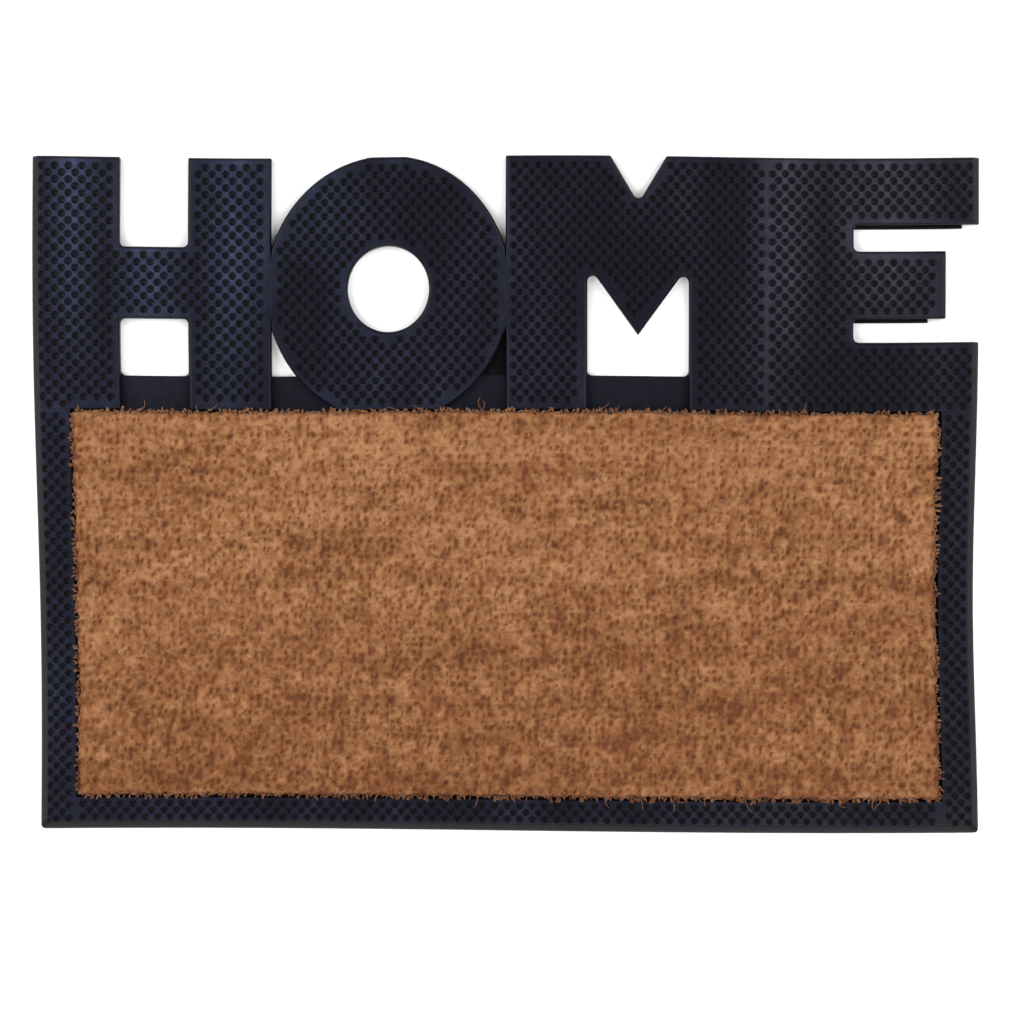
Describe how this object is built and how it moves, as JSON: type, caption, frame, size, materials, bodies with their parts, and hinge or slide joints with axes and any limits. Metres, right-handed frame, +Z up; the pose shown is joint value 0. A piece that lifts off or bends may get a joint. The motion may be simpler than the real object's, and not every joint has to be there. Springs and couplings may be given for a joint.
{
  "type": "door mat",
  "caption": "Rectangular door mat: a dimpled rubber surround with a header of cut-out block capitals and a clipped coir scraper panel bonded into its tray.",
  "frame": {"origin": "on the floor, at the middle of the mat's width and depth", "axes": "+X along the header, left to right as it is read; +Y from the coir panel towards the header; +Z up out of the tread"},
  "size_m": [0.7, 0.5, 0.015],
  "materials": {
    "rubber_tread": "dimpled moulded rubber, satin, faint bluish black",
    "rubber_smooth": "smooth moulded rubber sheet",
    "adhesive": "dried contact adhesive",
    "backing": "flexible backing sheet that grips the fibre roots",
    "coir": "clipped natural coconut fibre"
  },
  "bodies": {
    "root": {"base_sheet": "rubber_smooth", "border_left": "rubber_tread", "border_right": "rubber_tread", "border_front": "rubber_tread", "letter_h": "rubber_tread", "letter_o": "rubber_tread", "letter_m": "rubber_tread", "letter_e": "rubber_tread", "adhesive_film": "adhesive", "coir_backing": "backing", "coir_pile": "coir"}
  },
  "joints": []
}
